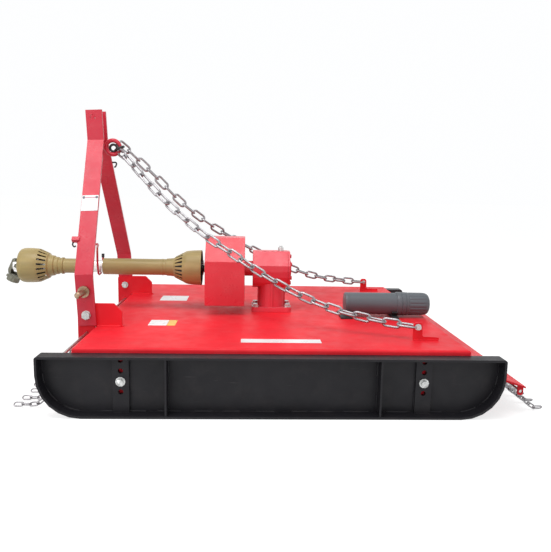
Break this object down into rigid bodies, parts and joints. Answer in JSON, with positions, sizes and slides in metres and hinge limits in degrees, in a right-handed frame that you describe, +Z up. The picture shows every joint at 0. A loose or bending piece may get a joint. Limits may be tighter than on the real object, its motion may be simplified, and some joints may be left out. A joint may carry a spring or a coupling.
{
  "type": "tractor slasher",
  "caption": "Rear-mounted rotary slasher with a low steel deck, skids, A-shaped mast braced by chains, bevel gearbox, guarded drive shaft and swinging blades.",
  "frame": {"origin": "middle of the machine's overall box, on the ground", "axes": "+X to the rear, +Y to the machine's right-hand side, +Z up"},
  "size_m": [1.8823, 1.3006, 0.9576],
  "materials": {
    "deck_red": "gloss powder coat",
    "mast_red": "gloss powder coat",
    "gearbox_red": "painted casting and sheet",
    "skid_black": "satin black paint",
    "zinc": "zinc plated",
    "bare_steel": "oiled steel",
    "guard_yellow": "moulded plastic",
    "tube_grey": "moulded plastic",
    "chain_steel": "galvanised",
    "gear_steel": "ground steel",
    "saddle_black": "moulded plastic"
  },
  "bodies": {
    "deck_frame": {"deck": "deck_red", "skid_left": "skid_black", "skid_right": "skid_black", "skid_bolt_front_left": "zinc", "skid_bolt_rear_left": "zinc", "skid_bolt_front_right": "zinc", "skid_bolt_rear_right": "zinc", "hitch_bracket_left": "deck_red", "hitch_bracket_right": "deck_red", "mast_pivot_bolt_left": "zinc", "mast_pivot_bolt_right": "zinc", "brace_chain_left": "chain_steel", "brace_chain_right": "chain_steel", "chain_lug_left": "deck_red", "chain_lug_right": "deck_red", "chain_bolt_left": "zinc", "chain_bolt_right": "zinc", "gearbox_housing": "gearbox_red", "gearbox_rear_cover": "gearbox_red", "gearbox_filler_plug": "zinc", "gearbox_bolt_front_left": "zinc", "gearbox_bolt_front_right": "zinc", "gearbox_bolt_rear_left": "zinc", "gearbox_bolt_rear_right": "zinc", "input_bearing_front": "bare_steel", "input_bearing_rear": "bare_steel", "output_bearing": "bare_steel", "input_shaft_hood": "gearbox_red", "document_tube": "tube_grey", "document_tube_saddle_front": "saddle_black", "document_tube_saddle_rear": "saddle_black", "rear_chain_rail": "deck_red"},
    "mast": {"mast_leg_left": "mast_red", "mast_leg_right": "mast_red", "lower_link_pin_left": "zinc", "lower_link_pin_right": "zinc", "mast_chain_eye": "mast_red", "pto_cradle_hook": "mast_red"},
    "input_train": {"input_shaft": "bare_steel", "crown_gear": "gear_steel", "rear_end_yoke": "bare_steel", "rear_cross": "bare_steel"},
    "rotor": {"output_shaft": "bare_steel", "output_pinion": "gear_steel", "blade_carrier": "bare_steel", "carrier_nut": "zinc", "blade_bolt_1": "zinc", "blade_bolt_2": "zinc"},
    "blade_one": {"blade_1": "gear_steel"},
    "blade_two": {"blade_2": "gear_steel"},
    "outer_shaft": {"outer_profile_shaft": "zinc"},
    "rear_guard": {"guard_rear": "guard_yellow"},
    "inner_shaft": {"inner_profile_shaft": "zinc"},
    "front_guard": {"guard_front": "guard_yellow"},
    "front_joint_cross": {"front_cross": "bare_steel"},
    "end_yoke": {"front_end_yoke": "bare_steel"},
    "tube_cap": {"document_tube_cap": "tube_grey"},
    "front_curtain": {"front_chain_curtain": "chain_steel"},
    "rear_curtain": {"rear_chain_curtain": "chain_steel"}
  },
  "joints": [
    {"name": "mast_tilt", "type": "hinge", "parent": "deck_frame", "child": "mast", "pos_m": [-0.547, 0, 0.243], "axis": [0, 1, 0], "range_deg": [-3, 3], "deforming": ["brace_chain_left", "brace_chain_right"]},
    {"name": "input_spin", "type": "hinge", "parent": "deck_frame", "child": "input_train", "pos_m": [-0.139, 0, 0.366], "axis": [1, 0, 0], "continuous": true},
    {"name": "rotor_spin", "type": "hinge", "parent": "deck_frame", "child": "rotor", "pos_m": [0.092, 0, 0.118], "axis": [0, 0, 1], "continuous": true},
    {"name": "blade_1_swing", "type": "hinge", "parent": "rotor", "child": "blade_one", "pos_m": [0.29679, 0.14339, 0.106], "axis": [0, 0, 1], "range_deg": [-110, 110]},
    {"name": "blade_2_swing", "type": "hinge", "parent": "rotor", "child": "blade_two", "pos_m": [-0.11279, -0.14339, 0.106], "axis": [0, 0, 1], "range_deg": [-110, 110]},
    {"name": "shaft_lift", "type": "hinge", "parent": "deck_frame", "child": "rear_guard", "pos_m": [-0.139, 0, 0.366], "axis": [0, 1, 0], "range_deg": [0, 25]},
    {"name": "rear_shaft_spin", "type": "hinge", "parent": "rear_guard", "child": "outer_shaft", "pos_m": [-0.139, 0, 0.366], "axis": [1, 0, 0], "continuous": true},
    {"name": "shaft_slide", "type": "slide", "parent": "rear_guard", "child": "front_guard", "axis": [-1, 0, 0], "range_m": [-0.01, 0.14]},
    {"name": "front_shaft_spin", "type": "hinge", "parent": "front_guard", "child": "inner_shaft", "pos_m": [-0.889, 0, 0.366], "axis": [1, 0, 0], "continuous": true},
    {"name": "front_joint_lift", "type": "hinge", "parent": "inner_shaft", "child": "front_joint_cross", "pos_m": [-0.889, 0, 0.366], "axis": [0, 1, 0], "range_deg": [0, 90]},
    {"name": "front_joint_sideways", "type": "hinge", "parent": "front_joint_cross", "child": "end_yoke", "pos_m": [-0.889, 0, 0.366], "axis": [-0.9063, 0, 0.4226], "range_deg": [-4, 4]},
    {"name": "tube_cap_pull", "type": "slide", "parent": "deck_frame", "child": "tube_cap", "axis": [1, 0, 0], "range_m": [0, 0.08]},
    {"name": "front_curtain_swing", "type": "hinge", "parent": "deck_frame", "child": "front_curtain", "pos_m": [-0.549, 0, 0.178], "axis": [0, 1, 0], "range_deg": [0, 40]},
    {"name": "rear_curtain_swing", "type": "hinge", "parent": "deck_frame", "child": "rear_curtain", "pos_m": [0.853, 0, 0.07], "axis": [0, -1, 0], "range_deg": [0, 40]}
  ],
  "couplings": [
    {"joint": "rotor_spin", "follows": "input_spin", "ratio": 1.4667},
    {"joint": "rear_shaft_spin", "follows": "input_spin", "ratio": 1},
    {"joint": "front_shaft_spin", "follows": "input_spin", "ratio": 1}
  ]
}
